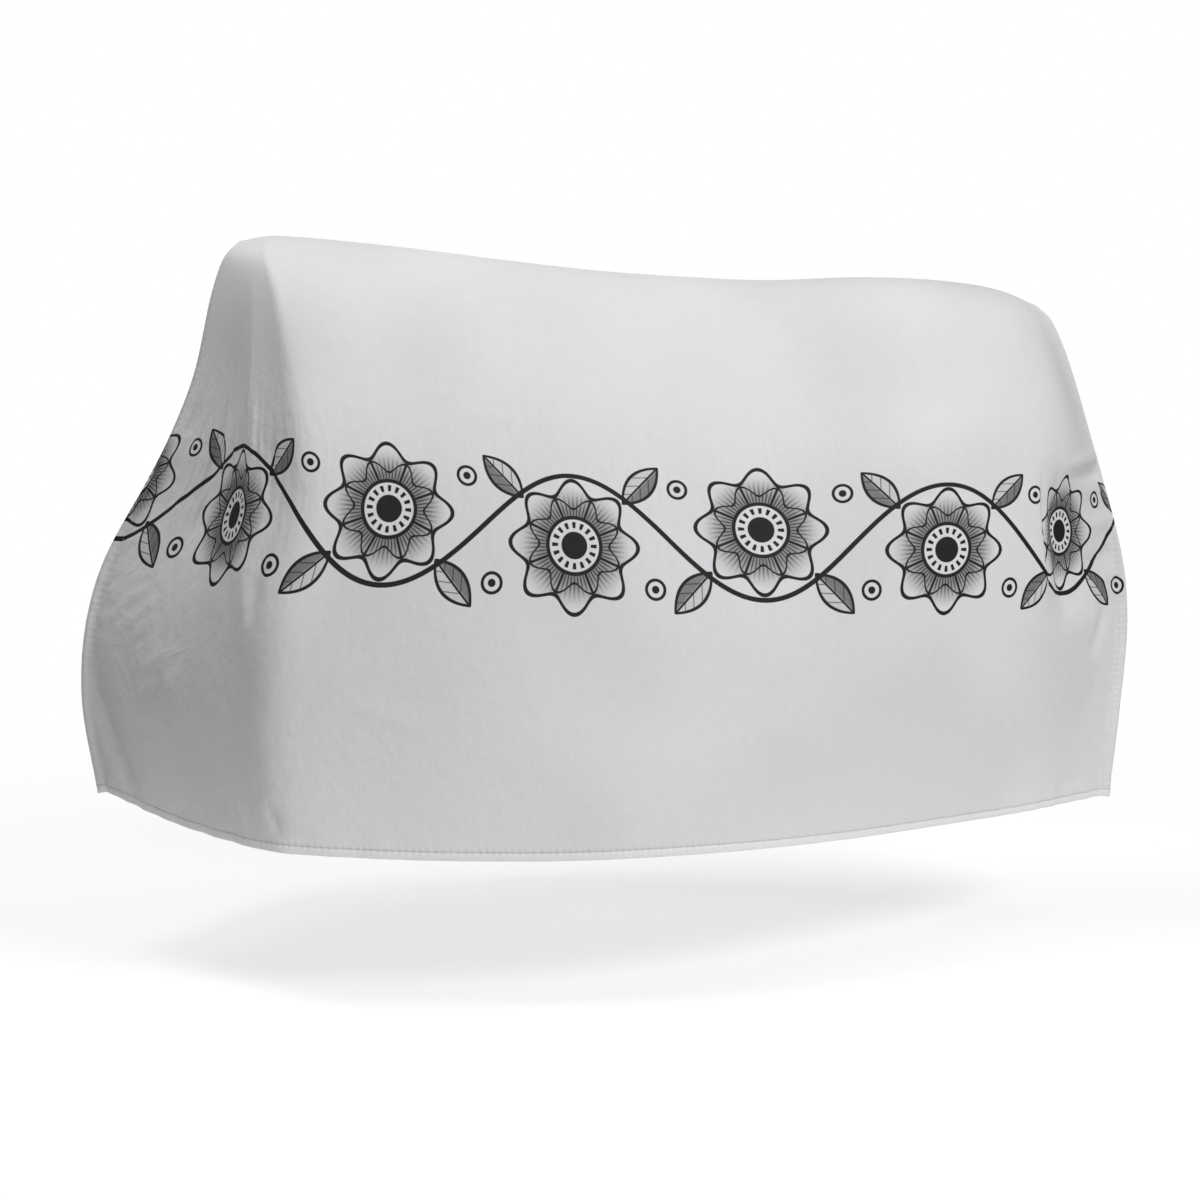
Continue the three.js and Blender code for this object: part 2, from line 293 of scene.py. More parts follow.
# fine unevenness of the film
crinkles = {
    # height mm, cells per metre along and down, seed
    "layers": [(0.85, 9, 3.2, 3.1), (0.55, 22, 8, 11.7), (0.30, 40, 19, 23.5)],
    "crest": 0.42,              # share of the height along a crease
    "steep": 1.9,               # how fast the film falls away beside it
    "warp": 0.035,              # m, bends the cells
    "warpCells": 5,             # per metre
    "warpSeed": 40,
    "seeds": {near: 3.7, far: 91.3},
    "strength": 0.5,            # everywhere, and more at both ends
    "frontMore": 0.9,
    "rearMore": 0.45,
    "frontEnds": (0.17, 0.30),  # shares of the length
    "rearStarts": (0.80, 0.93),
    "lowStarts": (0.22, 0.45),  # shares of the drop
    "seamFree": 0.02,
    "hemRipple": 1.1,           # mm, along the hem
    "hemWave": 0.061,           # m from crest to crest
    "hemDrift": (2.5, 7.0),     # how far and how often the crests wander
    "hemSwell": (3.1, 1.2),     # how often the ripple dies down, and where first
    "hemStarts": (0.95, 0.99),
    "seamRipple": 1.0,          # mm, beside the end seams
    "seamWave": 0.048,
    "seamDrift": (2.2, 9.0),
    "seamReach": 0.03,          # m
    "seamFlat": 0.012,          # m
    "seamStarts": (0.22, 0.40),
}


def wandering(place, wave, drift):
    return np.sin(place * 2 * math.pi / wave + drift[0] * np.sin(place * drift[1]))


def crinkleRise(side, alongs, downs):    # millimetres
    c = crinkles
    s = alongs * cutSheet["length"]
    t = downs * cutSheet["drop"]
    seed = c["seeds"][side]
    rise = np.zeros_like(s)
    for j, i in np.ndindex(s.shape):
        x, y = s[j, i], t[j, i]
        x += c["warp"] * noise.noise((x * c["warpCells"], y * c["warpCells"], seed))
        y += c["warp"] * noise.noise((x * c["warpCells"], y * c["warpCells"], seed + c["warpSeed"]))
        for height, alongCells, downCells, shift in c["layers"]:
            cell = abs(noise.noise((x * alongCells, y * downCells, shift + seed)))
            rise[j, i] += height * (c["crest"] - cell * c["steep"])
    front = 1 - easeIn(alongs, *c["frontEnds"])
    rear = easeIn(alongs, *c["rearStarts"])
    low = easeIn(downs, *c["lowStarts"])
    rise *= low * (c["strength"] + c["frontMore"] * front + c["rearMore"] * rear)
    rise *= easeIn(alongs, 0, c["seamFree"]) * easeIn(1 - alongs, 0, c["seamFree"])
    swell = 0.5 + 0.5 * np.sin(s * c["hemSwell"][0] + c["hemSwell"][1])
    ripple = wandering(s, c["hemWave"], c["hemDrift"]) * swell
    rise += c["hemRipple"] * ripple * easeIn(downs, *c["hemStarts"])
    toRear = cutSheet["length"] - s
    atSeam = np.exp(-s / c["seamReach"]) + np.exp(-toRear / c["seamReach"])
    atSeam *= easeIn(downs, *c["seamStarts"]) * easeIn(np.minimum(s, toRear), 0, c["seamFlat"])
    rise += c["seamRipple"] * wandering(t, c["seamWave"], c["seamDrift"]) * atSeam
    return rise


def spread(start, *runs):
    places = [start]
    for end, steps in runs:
        places += list(np.linspace(places[-1], end, steps + 1)[1:])
    return places


# grid of the sheet: steps along the cloth, and down it above the stitch row
sheetGrid = {
    "along": [(0.04, 12), (0.22, 68), (0.30, 14), (0.82, 50), (1.0, 46)],
    "down": [(0.10, 13), (0.975, 92)],
    # mm above the hem edge and mm out from the cloth, from the raw edge inside round to the outside
    "hemTurn": [
        (12.5, -3.0), (8.0, -3.2), (3.0, -2.8), (0.8, -1.9), (0.0, -0.9), (0.8, 0.1), (3.0, 0.7),
        (7.5, 0.9), (11.5, 0.3), (13.5, -0.7), (15.5, -0.1), (19.0, 0.1),
    ],
    "insideRows": 4,            # rows of the turn that lie inside, from the raw edge on
    "stitchRow": 9,             # the row that lies in the stitch groove
    "finColumns": 2,            # columns past each end seam
    "seamTop": 17,              # rows at the top fold without seam stitches
}


def sheetLayout():
    alongs = spread(0, *sheetGrid["along"])
    columns = [(0.0, 1.0), (0.0, 0.5)] + [(a, 0.0) for a in alongs] + [(1.0, 0.5), (1.0, 1.0)]
    rows = []      # down share, lift mm, place on the flat cut in metres
    turn = sheetGrid["hemTurn"]
    for i, (above, lift) in enumerate(turn):
        down = cutSheet["drop"] - above / 1000
        flat = cutSheet["drop"] + above / 1000 if i < sheetGrid["insideRows"] else down
        rows.append((down / cutSheet["drop"], lift, flat))
    for down in reversed(spread(0, *sheetGrid["down"])):
        rows.append((down, 0.0, down * cutSheet["drop"]))
    return columns, rows


def sidePoints(side, columns, rows):
    cut = cutSheet
    alongs = np.array([a for a, _ in columns])
    downs = np.array([r[0] for r in rows])
    lifts = np.array([r[1] for r in rows])[:, None] * np.ones(len(columns))
    smooth = hangingSide(downs, alongs)
    normal = outwardOf(downs, alongs)
    gridAlong, gridDown = np.meshgrid(alongs, downs)
    clear = easeIn(gridAlong, 0, cut["frontFree"]) * easeIn(1 - gridAlong, 0, cut["rearFree"])
    grown = easeIn(gridDown, 0, cut["topFree"])
    rise = foldRise(side, gridAlong, gridDown) * clear + crinkleRise(side, gridAlong, gridDown)
    apart = easeIn(np.minimum(gridAlong, 1 - gridAlong), 0, cut["turnFree"])
    points = smooth + normal * ((rise * grown + lifts * apart) / 1000)[:, :, None]
    # the two layers lie apart at the end seams, and run on past them as the fin
    inHem = (lifts - lifts.min()) * cut["hemGap"] * (gridDown > cut["hemFrom"])
    layer = (cut["thick"] + cut["layerGap"] + inHem) * grown
    points[:, :, 1] = np.maximum(points[:, :, 1], layer)
    wide = cut["finTop"] + (cut["fin"] - cut["finTop"]) * easeIn(downs, *cut["finWidens"])
    wide = wide * easeIn(downs, *cut["finStarts"])
    step = 0.02                 # share of the drop
    for c, (along, past) in enumerate(columns):
        if past == 0:
            continue
        seam = np.array([along])
        above, under = np.maximum(downs - step, 0), np.minimum(downs + step, 1)
        run = (hangingSide(under, seam) - hangingSide(above, seam))[:, 0, :]
        run = run / np.linalg.norm(run, axis=1)[:, None]
        outward = np.stack([run[:, 2], np.zeros(len(downs)), -run[:, 0]], -1) * (1 if along == 0 else -1)
        points[:, c, :] += outward * (wide * past)[:, None]
        points[:, c, 1] = layer[:, c]
    points[:, :, 1] *= side
    return points


def placed(bm, name):    # the finished mesh as an object of the scene
    mesh = bpy.data.meshes.new(name)
    bm.to_mesh(mesh)
    bm.free()
    made = bpy.data.objects.new(name, mesh)
    bpy.context.scene.collection.objects.link(made)
    return made


def buildSheet():
    columns, rows = sheetLayout()
    nearPoints = sidePoints(near, columns, rows)
    farPoints = sidePoints(far, columns, rows)
    points = np.concatenate([nearPoints, farPoints[:-1][::-1]])
    flats = [-r[2] for r in rows] + [r[2] for r in rows[:-1]][::-1]
    across = []
    for along, past in columns:
        fin = cutSheet["fin"] * past
        across.append(along * cutSheet["length"] + (fin if along > 0.5 else -fin))
    wide, high = len(columns), len(points)

    bm = bmesh.new()
    bmesh.ops.create_grid(bm, x_segments=wide - 1, y_segments=high - 1, size=1.0)
    bm.verts.ensure_lookup_table()
    uvFlat = bm.loops.layers.uv.new("flat")
    for v in bm.verts:
        i = round((v.co.x + 1) / 2 * (wide - 1))
        j = round((v.co.y + 1) / 2 * (high - 1))
        for loop in v.link_loops:
            loop[uvFlat].uv = (across[i], flats[j])
        v.co = Vector(points[j, i])
    for face in bm.faces:
        face.smooth = True
    sheet = placed(bm, "cover_film")
    wall = sheet.modifiers.new("wall", "SOLIDIFY")
    wall.thickness = cutSheet["thick"]
    wall.offset = -1
    wall.material_offset = 1
    print("sheet:", wide, "by", high, "points,", len(sheet.data.polygons) * 4, "triangles with its wall")
    return sheet, points, columns, rows


# sewing thread, metres
threadRun = {
    "stitch": 0.0036,
    "gap": 0.0016,
    "thick": 0.00032,
    "flat": 1.2,                # width for each thickness
    "proud": 0.00025,
}


def stitchAlong(bm, line, outs):
    lengths = np.concatenate([[0], np.cumsum(np.linalg.norm(np.diff(line, axis=0), axis=1))])
    pitch = threadRun["stitch"] + threadRun["gap"]
    thick = threadRun["thick"]
    size = Matrix.Diagonal((threadRun["stitch"] / 2, thick * threadRun["flat"], thick, 1))
    count = int(lengths[-1] / pitch)
    for k in range(count):
        first = k * pitch + threadRun["gap"] / 2
        ends = [first, first + threadRun["stitch"]]
        a, b = [np.array([np.interp(e, lengths, line[:, c]) for c in range(3)]) for e in ends]
        out = np.array([np.interp(sum(ends) / 2, lengths, outs[:, c]) for c in range(3)])
        way = Vector(b - a).normalized()
        normal = Vector(out).normalized()
        sideways = normal.cross(way).normalized()
        turn = Matrix((way, sideways, way.cross(sideways))).transposed().to_4x4()
        middle = Vector((a + b) / 2) + normal * threadRun["proud"]
        place = Matrix.Translation(middle) @ turn @ size
        bmesh.ops.create_icosphere(bm, subdivisions=1, radius=1.0, matrix=place)
    return count


def rowNormals(points):
    normals = np.cross(np.gradient(points, axis=1), np.gradient(points, axis=0))
    return normals / np.maximum(np.linalg.norm(normals, axis=2, keepdims=True), 1e-12)


def buildStitches(points, columns, rows):
    outs = rowNormals(points)
    hemRow, edge = sheetGrid["stitchRow"], sheetGrid["finColumns"]
    high = len(points)
    top = len(rows) - sheetGrid["seamTop"]
    bm = bmesh.new()
    count = 0
    for row in (hemRow, high - 1 - hemRow):
        count += stitchAlong(bm, points[row, edge:-edge], outs[row, edge:-edge])
    for column in (edge, len(columns) - 1 - edge):
        for span in (slice(hemRow + 2, top), slice(high - 1 - top, high - 3 - hemRow)):
            line = points[span, column].copy()
            flank = np.zeros_like(line)
            flank[:, 1] = np.sign(line[:, 1].mean())
            count += stitchAlong(bm, line, flank)
    for face in bm.faces:
        face.smooth = True
    stitches = placed(bm, "cover_stitches")
    print("stitches:", count)
    return stitches


class Wire:      # a value on its way through a material's nodes
    def __init__(self, tree, socket):
        self.tree = tree
        self.socket = socket

    def node(self, kind, settings=None, inputs=None, out=0):
        made = self.tree.nodes.new("ShaderNode" + kind)
        for name, value in (settings or {}).items():
            setattr(made, name, value)
        for key, value in (inputs or {}).items():
            if isinstance(value, Wire):
                self.tree.links.new(value.socket, made.inputs[key])
            else:
                made.inputs[key].default_value = value
        return Wire(self.tree, made.outputs[out])

    def maths(self, operation, *values):
        return self.node("Math", {"operation": operation}, dict(enumerate(values)))

    def __add__(self, other):
        return self.maths("ADD", self, other)

    def __radd__(self, other):
        return self.maths("ADD", other, self)

    def __sub__(self, other):
        return self.maths("SUBTRACT", self, other)

    def __rsub__(self, other):
        return self.maths("SUBTRACT", other, self)

    def __mul__(self, other):
        return self.maths("MULTIPLY", self, other)

    def __rmul__(self, other):
        return self.maths("MULTIPLY", other, self)

    def __truediv__(self, other):
        return self.maths("DIVIDE", self, other)

    def __abs__(self):
        return self.maths("ABSOLUTE", self)


def eased(value, low, high):
    return value.node("MapRange", {"interpolation_type": "SMOOTHSTEP"}, {0: value, 1: low, 2: high})


def stroke(away, width, soft=0.0006):       # an ink line of that width where away is nought
    return eased(abs(away), width / 2 + soft, width / 2 - soft)


def inside(value, edge, soft=0.0006):       # one where the value is below the edge
    return eased(value, edge + soft, edge - soft)


def strongest(first, *others):
    for other in others:
        first = first.maths("MAXIMUM", first, other)
    return first


def blended(share, first, second):
    return share.node("Mix", {"data_type": "RGBA"}, {"Factor": share, 6: first, 7: second}, out=2)


def startMaterial(name):
    material = bpy.data.materials.new(name)
    material.use_nodes = True
    tree = material.node_tree
    shader = tree.nodes["Principled BSDF"]
    return material, tree, shader


# leaves of the printed border: metres on the flat cut, line widths and shares of full ink
leafPrint = {
    "at": (0.116, -0.086),
    "turn": 46,                 # degrees
    "long": 0.090,
    "wide": 0.042,
    "outline": 0.0054,
    "tip": (1.04, 0.03),        # where the outline stops, in half lengths
    "rib": 0.0034,
    "vein": 0.0026,
    "veinStep": 0.0105,
    "veinSlant": 1.1,
    "veinInk": 0.75,
    "darkHalf": (-0.001, 0.004),
    "paleHalf": 0.22,
}


def leafMarks(x, y, side):
    leaf = leafPrint
    turn = math.radians(-side * leaf["turn"])
    atX, atY = side * leaf["at"][0], leaf["at"][1]
    c, s = math.cos(turn), math.sin(turn)
    px = (x - atX) * c + (y - atY) * s
    py = (y - atY) * c - (x - atX) * s
    share = px / (leaf["long"] / 2)
    half = (1 - share * share) * (leaf["wide"] / 2)
    edge = abs(py) - half
    body = inside(edge, 0.0)
    outline = stroke(edge, leaf["outline"]) * inside(abs(share), *leaf["tip"])
    rib = stroke(py, leaf["rib"]) * body
    slant = (abs(py) * leaf["veinSlant"] + px) / leaf["veinStep"]
    veins = stroke(slant.maths("PINGPONG", slant, 1.0) * leaf["veinStep"], leaf["vein"]) * body
    dark = body * eased(py, *leaf["darkHalf"])
    return strongest(outline, rib, veins * leaf["veinInk"]), strongest(dark, body * leaf["paleHalf"])


# blossoms of the printed border, in the same way
bloomPrint = {
    "radius": 0.106,
    "up": 0.018,
    "petals": 8,
    "lobe": 0.11,               # share of the radius by which the petals stand out
    "outline": 0.0068,
    "split": 0.0042,
    "splitShade": (0.015, 0.0),
    "splitInk": 0.7,
    "inner": 0.068,
    "innerLobe": 0.010,
    "innerLine": 0.0040,
    "ring": 0.0440,
    "ringLine": 0.0062,
    "ringEdge": (0.043, 0.046),
    "eye": 0.0215,
    "dots": 16,
    "dotRing": 0.0320,
    "dotLong": 0.0100,
    "dotEdge": (0.1, 0.3),
    "hatch": 64,
    "hatchEdge": (0.0, 0.6),
    "hatchEnds": (0.092, 0.053),
    "hatchStarts": (0.046, 0.048),
    "hatchInk": 0.85,
    "petalShade": (0.104, 0.048),
    "petalInk": 0.9,
}


def bloomMarks(x, y):
    bloom = bloomPrint
    square = x * x + y * y
    r = square.maths("SQRT", square)
    angle = x.maths("ARCTAN2", y, x)
    lobes = angle * bloom["petals"]
    petalEdge = bloom["radius"] * ((1 - bloom["lobe"]) + bloom["lobe"] * lobes.maths("COSINE", lobes))
    within = inside(r - petalEdge, 0.0)
    outline = stroke(r - petalEdge, bloom["outline"])
    half = angle * (bloom["petals"] / 2)
    between = r * half.maths("COSINE", half) / (bloom["petals"] / 2)
    pastRing = eased(r, *bloom["ringEdge"])
    splits = stroke(between, bloom["split"]) * within * pastRing
    innerEdge = bloom["inner"] - bloom["innerLobe"] * lobes.maths("COSINE", lobes)
    innerRing = stroke(r - innerEdge, bloom["innerLine"])
    ring = stroke(r - bloom["ring"], bloom["ringLine"])
    eye = inside(r, bloom["eye"])
    dots = angle * bloom["dots"]
    dotRow = stroke(r - bloom["dotRing"], bloom["dotLong"])
    dotted = eased(dots.maths("COSINE", dots), *bloom["dotEdge"]) * dotRow
    fine = angle * bloom["hatch"]
    hatch = eased(fine.maths("COSINE", fine), *bloom["hatchEdge"])
    hatch = hatch * eased(r, *bloom["hatchEnds"]) * eased(r, *bloom["hatchStarts"])
    fromRing = eased(r, *bloom["petalShade"]) * bloom["petalInk"]
    fromSplit = eased(abs(between), *bloom["splitShade"]) * bloom["splitInk"]
    ink = strongest(outline, splits, innerRing, ring, eye, dotted, hatch * bloom["hatchInk"])
    return ink, within * strongest(fromRing, fromSplit) * pastRing


# the printed border as a whole
borderPrint = {
    "middle": 0.512,            # down from the top fold at the front
    "tilt": 0.016,              # and lower by this for each metre along
    "band": (0.146, 0.001),     # half its height, and how soft it ends
    "start": -0.20,
    "cell": 0.31,
    "vine": 0.096,
    "stem": 0.0080,
    "bud": (0.132, 0.082),
    "budRing": 0.0150,
    "budLine": 0.0050,
    "budDot": 0.0062,
    "ink": (0.006, 0.006, 0.007, 1),
    "shade": (0.055, 0.056, 0.060, 1),
}


def borderMarks(along, drop):
    b = borderPrint
    up = b["middle"] + along * b["tilt"] - drop
    cells = (along - b["start"]) / b["cell"]
    turn = cells.maths("FLOOR", cells)
    x = (cells - turn - 0.5) * b["cell"]
    flip = 1 - 2 * turn.maths("FLOORED_MODULO", turn, 2.0)     # every second cell stands on its head
    y = up * flip

    bend = x * (math.pi / b["cell"])
    vineAway = y + b["vine"] * bend.maths("COSINE", bend)
    slope = bend.maths("SINE", bend) * (b["vine"] * math.pi / b["cell"])
    lean = slope * slope + 1
    stem = stroke(vineAway / lean.maths("SQRT", lean), b["stem"])

    bloomInk, bloomShade = bloomMarks(x, y - bloomPrint["up"])
    leftInk, leftShade = leafMarks(x, y, -1)
    rightInk, rightShade = leafMarks(x, y, 1)
    budX, budY = abs(x) - b["bud"][0], y - b["bud"][1]
    budSquare = budX * budX + budY * budY
    budR = budSquare.maths("SQRT", budSquare)
    bud = strongest(stroke(budR - b["budRing"], b["budLine"]), inside(budR, b["budDot"]))

    band = inside(abs(up), *b["band"])
    ink = strongest(stem, bloomInk, leftInk, rightInk, bud) * band
    shade = strongest(bloomShade, leftShade, rightShade) * band
    return ink, shade


# the film; metres on the flat cut
filmLook = {
    "light": (0.62, 0.623, 0.635, 1),
    "deep": (0.565, 0.568, 0.582, 1),
    "mottle": (0.8, 0.2),                   # of cloudy and crumple
    "mottleEdge": (0.35, 0.65),
    "doubled": (0.70, 0.702, 0.71, 1),      # two layers at the hem
    "doubledShare": 0.55,
    "hemEdge": (0.0006, -0.0010),
    "sewn": (0.30, 0.30, 0.31, 1),          # the needle holes, and painted shade of the stitch groove
    "sewnShare": 0.45,
    "sewnLine": (0.0022, 0.0010),
    "printShade": 0.82,
    "showThrough": 0.16,                    # how much of the print is seen from the inside
    "rough": 0.48,
    "roughCrumple": 0.18,
    "roughFine": 0.08,
    "roughInk": 0.22,
    "specular": 0.28,
    "ior": 1.49,
    # grain: cells per metre along and down, detail, roughness, seed
    "streaks": (34, 9, 2, 0.55, 0.0),
    "crumple": (58, 44, 3, 0.6, 3.0),
    "cloudy": (3.2, 2.6, 1, 0.5, 7.0),
    "fineGrain": (900, 900, 0, 0.5, 11.0),
    "warpA": (9, 7, 1, 0.5, 17.0),
    "warpB": (9, 7, 1, 0.5, 27.0),
    "upright": (40, 7, 1, 0.5, 5.0),
    # slanting creases: cells per metre across and along them, and where each kind shows
    "slant": (20, 5.5),
    "slantShows": (0.38, 0.56),
    "cross": (11, 2.6),
    "crossSeed": 31,
    "crossShows": (0.58, 0.44),
    "creaseBend": 1.2,
    "creaseGrain": (1.0, 0.5),              # detail, roughness
    # puckers beside the sewing
    "hemPucker": 0.0104,
    "hemReach": 0.010,
    "seamPucker": 0.0125,
    "seamReach": 0.022,
    "puckerDrift": 9,
    # heights: everywhere, and more of it towards the front
    "streakRise": (0.10, 0.60),
    "crumpleRise": (1.15, 1.4),
    "slantRise": (1.0, 6.5),
    "uprightRise": (1.4, 8.0),
    "puckerRise": 0.25,
    "fineRise": 0.035,
    "topShare": 0.25,                       # of streaks and crumple at the top fold
    "patches": (0.40, 0.60),
    "patchShare": 0.4,
    "quietEnds": (0.16, 0.42),              # metres down
    "lowStarts": (0.50, 0.66),
    "frontEnds": (0.52, 0.26),              # metres along
    "bump": (0.9, 0.001),
}


def filmMaterial(name, inkShown):
    look = filmLook
    material, tree, shader = startMaterial(name)
    uv = Wire(tree, tree.nodes.new("ShaderNodeUVMap").outputs[0])
    uv.socket.node.uv_map = "flat"
    along = uv.node("SeparateXYZ", None, {0: uv})
    down = Wire(tree, along.socket.node.outputs[1])
    drop = abs(down)

    def noisy(x, y, z, detail, rough):
        place = uv.node("CombineXYZ", None, {0: x, 1: y, 2: z})
        settings = {"Vector": place, "Scale": 1.0, "Detail": detail, "Roughness": rough}
        return uv.node("TexNoise", None, settings)

    def grain(key):
        alongCells, downCells, detail, rough, seed = look[key]
        return noisy(along * alongCells, down * downCells, seed, detail, rough)

    streaks, crumple, cloudy, fineGrain = [grain(k) for k in ("streaks", "crumple", "cloudy", "fineGrain")]
    warpA, warpB, upright = [grain(k) for k in ("warpA", "warpB", "upright")]
    bend = warpB * look["creaseBend"]
    slantX, slantY = (along + drop) * look["slant"][0] + bend, (along - drop) * look["slant"][1]
    crossX, crossY = (along * 2 - drop) * look["cross"][0] + bend, (along + drop * 2) * look["cross"][1]
    slant = noisy(slantX, slantY, down * 2, *look["creaseGrain"])
    cross = noisy(crossX, crossY, down + look["crossSeed"], *look["creaseGrain"])
    slanting = abs(slant - 0.5) * eased(warpA, *look["slantShows"])
    crossing = abs(cross - 0.5) * eased(warpA, *look["crossShows"])

    edgeAway = (cutSheet["drop"] - cutSheet["hem"]) - drop
    hemWave = along * (2 * math.pi / look["hemPucker"]) + warpA * look["puckerDrift"]
    hemPucker = hemWave.maths("SINE", hemWave) * eased(abs(edgeAway), look["hemReach"], 0.0)
    seamAway = along.maths("MINIMUM", abs(along), abs(cutSheet["length"] - along))
    seamWave = down * (2 * math.pi / look["seamPucker"]) + warpB * look["puckerDrift"]
    seamPucker = seamWave.maths("SINE", seamWave) * eased(seamAway, look["seamReach"], 0.0)

    ink, shade = [mark * inkShown for mark in borderMarks(along, drop)]
    mottle = eased(cloudy * look["mottle"][0] + crumple * look["mottle"][1], *look["mottleEdge"])
    grey = blended(mottle, look["deep"], look["light"])
    grey = blended(eased(edgeAway, *look["hemEdge"]) * look["doubledShare"], grey, look["doubled"])
    # a darker line at the stitch row: the needle holes, and painted shade of the groove there
    grey = blended(stroke(edgeAway, *look["sewnLine"]) * look["sewnShare"], grey, look["sewn"])
    shaded = blended(shade * look["printShade"], grey, borderPrint["shade"])
    printed = blended(ink, shaded, borderPrint["ink"])
    tree.links.new(printed.socket, shader.inputs["Base Color"])

    rough = look["rough"] + (crumple - 0.5) * look["roughCrumple"]
    rough = rough + (fineGrain - 0.5) * look["roughFine"] + ink * look["roughInk"]
    tree.links.new(rough.socket, shader.inputs["Roughness"])

    quiet = eased(drop, *look["quietEnds"])
    low = eased(drop, *look["lowStarts"])
    atFront = eased(along, *look["frontEnds"])

    def risen(key):
        everywhere, more = look[key]
        return everywhere + more * atFront

    height = streaks * risen("streakRise") + crumple * risen("crumpleRise")
    height = height * (look["topShare"] + (1 - look["topShare"]) * quiet)
    wrinkled = (slanting + crossing) * low * risen("slantRise")
    wrinkled = wrinkled + abs(upright - 0.5) * (1 - low) * quiet * risen("uprightRise")
    patchy = (1 - look["patchShare"]) + look["patchShare"] * eased(cloudy, *look["patches"])
    height = height - wrinkled * patchy
    height = height + (hemPucker + seamPucker) * look["puckerRise"] + fineGrain * look["fineRise"]
    strength, distance = look["bump"]
    bump = uv.node("Bump", None, {"Strength": strength, "Distance": distance, "Height": height})
    tree.links.new(bump.socket, shader.inputs["Normal"])
    shader.inputs["Specular IOR Level"].default_value = look["specular"]
    shader.inputs["IOR"].default_value = look["ior"]
    print(name, "nodes:", len(tree.nodes))
    return material


# the thread's look
threadLook = {
    "pale": (0.66, 0.66, 0.665, 1),
    "dull": (0.52, 0.52, 0.53, 1),
    "twist": 1400.0,            # cells per metre
    "bump": (0.4, 0.0001),
    "rough": 0.62,
}


def threadMaterial():
    material, tree, shader = startMaterial("grey_thread")
    place = Wire(tree, tree.nodes.new("ShaderNodeTexCoord").outputs["Object"])
    twist = place.node("TexNoise", None, {"Vector": place, "Scale": threadLook["twist"], "Detail": 2.0})
    tone = blended(twist, threadLook["dull"], threadLook["pale"])
    tree.links.new(tone.socket, shader.inputs["Base Color"])
    strength, distance = threadLook["bump"]
    bump = place.node("Bump", None, {"Strength": strength, "Distance": distance, "Height": twist})
    tree.links.new(bump.socket, shader.inputs["Normal"])
    shader.inputs["Roughness"].default_value = threadLook["rough"]
    return material


sheet, sheetPoints, sheetColumns, sheetRows = buildSheet()
stitches = buildStitches(sheetPoints, sheetColumns, sheetRows)
sheet.data.materials.append(filmMaterial("grey_film", 1.0))
sheet.data.materials.append(filmMaterial("grey_film_inside", filmLook["showThrough"]))
stitches.data.materials.append(threadMaterial())
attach(sheet, "root")
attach(stitches, "root")
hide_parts("cover_sheet")
print("cover dressed")


# studio: floor, backdrop, lights
studio = {
    "floorZ": -1.12,
    "floorReach": 9.0,
    "floorTone": (0.35, 0.35, 0.352, 1),
    "floorFade": (2.9, 1.2),    # metres from the middle
    "floorRough": 0.8,
    "floorGlow": 0.7,
    "backReach": 30.0,
    "world": (0.01, 0.01005, 0.0102, 1),
    # name, place, aim, width, height, watts
    "lamps": [
        ("front", (-0.49, -6.96, 0.16), (0, 0, -0.45), 4.6, 2.2, 104),
        ("highRight", (3.33, -3.7, 2.91), (0, 0, -0.45), 3.0, 2.0, 258),
        ("upRight", (2.5, -0.4, 3.4), (0.4, 0, -0.3), 1.6, 1.6, 30),
        ("topLeft", (-1.6, -0.25, 2.85), (-0.5, 0, -0.3), 1.6, 1.6, 58),
        ("backLeft", (-2.4, 1.2, 1.9), (-0.5, 0, -0.3), 1.6, 1.6, 32),
        ("behind", (0.9, 4.4, 1.2), (0, 0, -0.5), 2.6, 2.6, 14),
    ],
}


def buildFloor():
    bm = bmesh.new()
    bmesh.ops.create_circle(bm, cap_ends=True, segments=96, radius=studio["floorReach"])
    bmesh.ops.translate(bm, verts=bm.verts, vec=(0, 0, studio["floorZ"]))
    floor = placed(bm, "studio_floor")
    material, tree, shader = startMaterial("pale_floor")
    place = Wire(tree, tree.nodes.new("ShaderNodeTexCoord").outputs["Object"])
    reach = place.node("VectorMath", {"operation": "LENGTH"}, {0: place}, out=1)
    fade = eased(reach, *studio["floorFade"])
    tree.links.new(fade.socket, shader.inputs["Alpha"])
    shader.inputs["Base Color"].default_value = studio["floorTone"]
    shader.inputs["Emission Color"].default_value = (1, 1, 1, 1)
    shader.inputs["Emission Strength"].default_value = studio["floorGlow"]
    shader.inputs["Roughness"].default_value = studio["floorRough"]
    floor.data.materials.append(material)


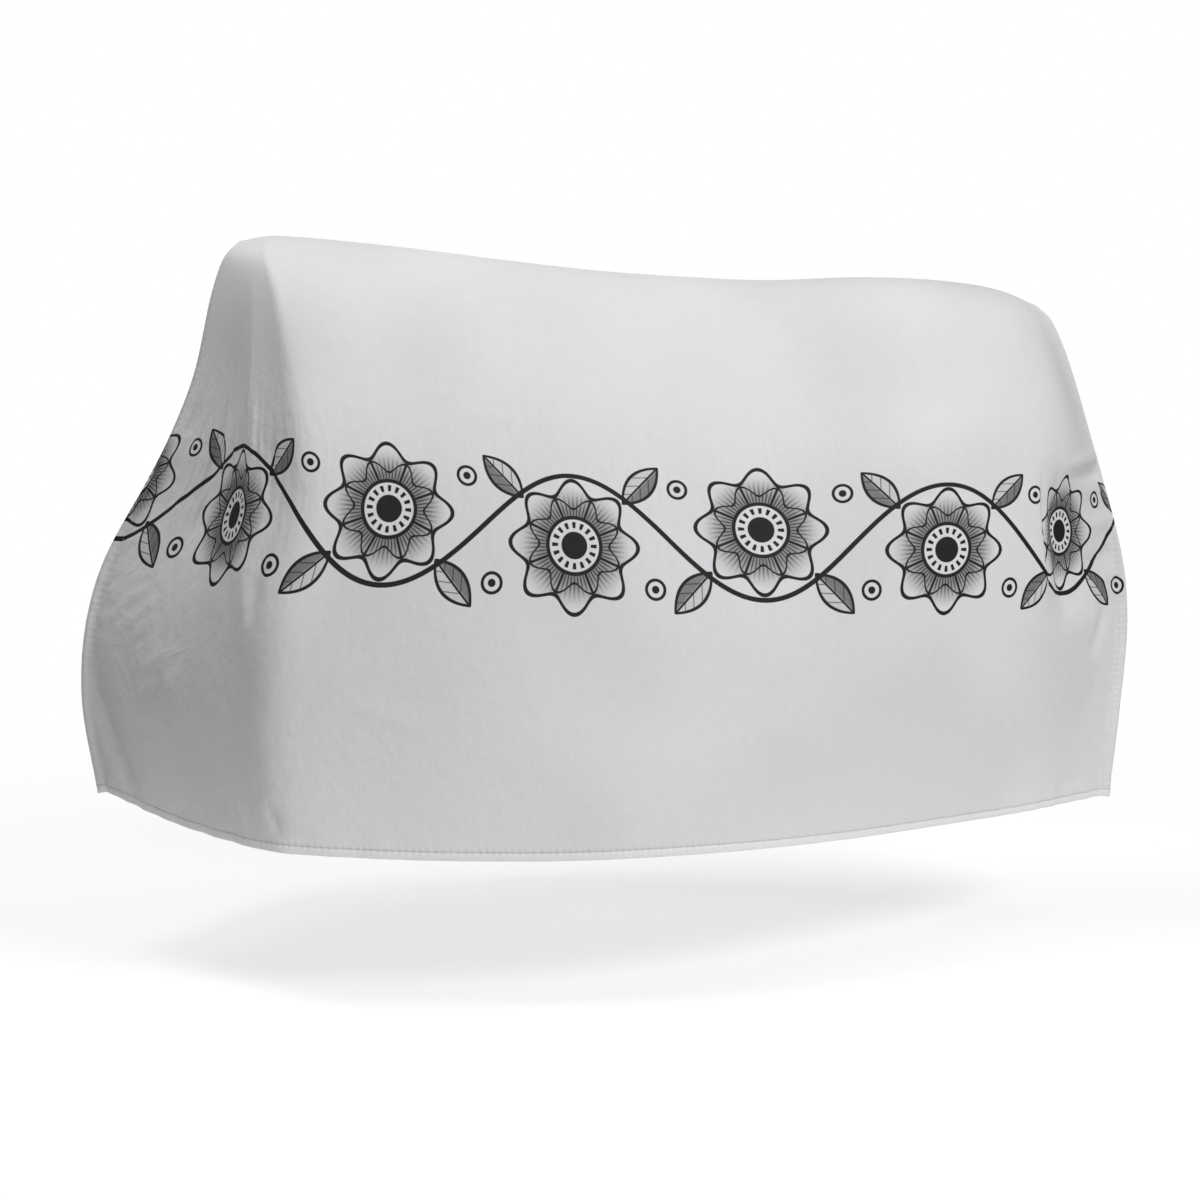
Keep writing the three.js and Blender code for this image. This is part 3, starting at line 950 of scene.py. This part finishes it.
def buildBackdrop():
    bm = bmesh.new()
    bmesh.ops.create_icosphere(bm, subdivisions=4, radius=studio["backReach"])
    bmesh.ops.reverse_faces(bm, faces=bm.faces)
    back = placed(bm, "studio_backdrop")
    material, tree, shader = startMaterial("white_backdrop")
    shader.inputs["Base Color"].default_value = (0, 0, 0, 1)
    shader.inputs["Emission Color"].default_value = (1, 1, 1, 1)
    shader.inputs["Emission Strength"].default_value = 1.0
    shader.inputs["Specular IOR Level"].default_value = 0.0
    material.cycles.emission_sampling = "NONE"
    back.data.materials.append(material)
    back.visible_diffuse = False       # a plain white ground that throws no light on the cover
    back.visible_glossy = False
    back.visible_shadow = False


def addLamp(name, place, aim, wide, high, watts):
    lamp = bpy.data.lights.new(name, "AREA")
    lamp.shape = "ELLIPSE"
    lamp.size = wide
    lamp.size_y = high
    lamp.energy = watts
    holder = bpy.data.objects.new(name, lamp)
    holder.location = place
    holder.rotation_euler = (Vector(aim) - Vector(place)).to_track_quat("-Z", "Y").to_euler()
    bpy.context.scene.collection.objects.link(holder)


buildFloor()
buildBackdrop()
for lampRow in studio["lamps"]:
    addLamp(*lampRow)
world = bpy.data.worlds.new("studio")
world.use_nodes = True
world.node_tree.nodes["Background"].inputs["Color"].default_value = studio["world"]
bpy.context.scene.world = world
bpy.context.scene.view_settings.view_transform = "Standard"
print("studio lit")


# the camera, as the picture was taken
cameraView = {
    "azimuth": -10.0,           # degrees
    "height": 7.0,
    "away": 4.2,                # metres from the aim
    "aim": (0.0, 0.0, -0.5463),
    "lens": 75.0,
    "sensor": 36,
    "reach": 200,
}


def addCamera():
    turn, tilt = math.radians(cameraView["azimuth"]), math.radians(cameraView["height"])
    back = Vector((math.sin(turn) * math.cos(tilt), -math.cos(turn) * math.cos(tilt), math.sin(tilt)))
    eye = bpy.data.cameras.new("view")
    eye.lens = cameraView["lens"]
    eye.sensor_width = cameraView["sensor"]
    eye.clip_end = cameraView["reach"]
    holder = bpy.data.objects.new("view", eye)
    holder.location = Vector(cameraView["aim"]) + back * cameraView["away"]
    holder.rotation_euler = (-back).to_track_quat("-Z", "Y").to_euler()
    bpy.context.scene.collection.objects.link(holder)
    bpy.context.scene.camera = holder


addCamera()
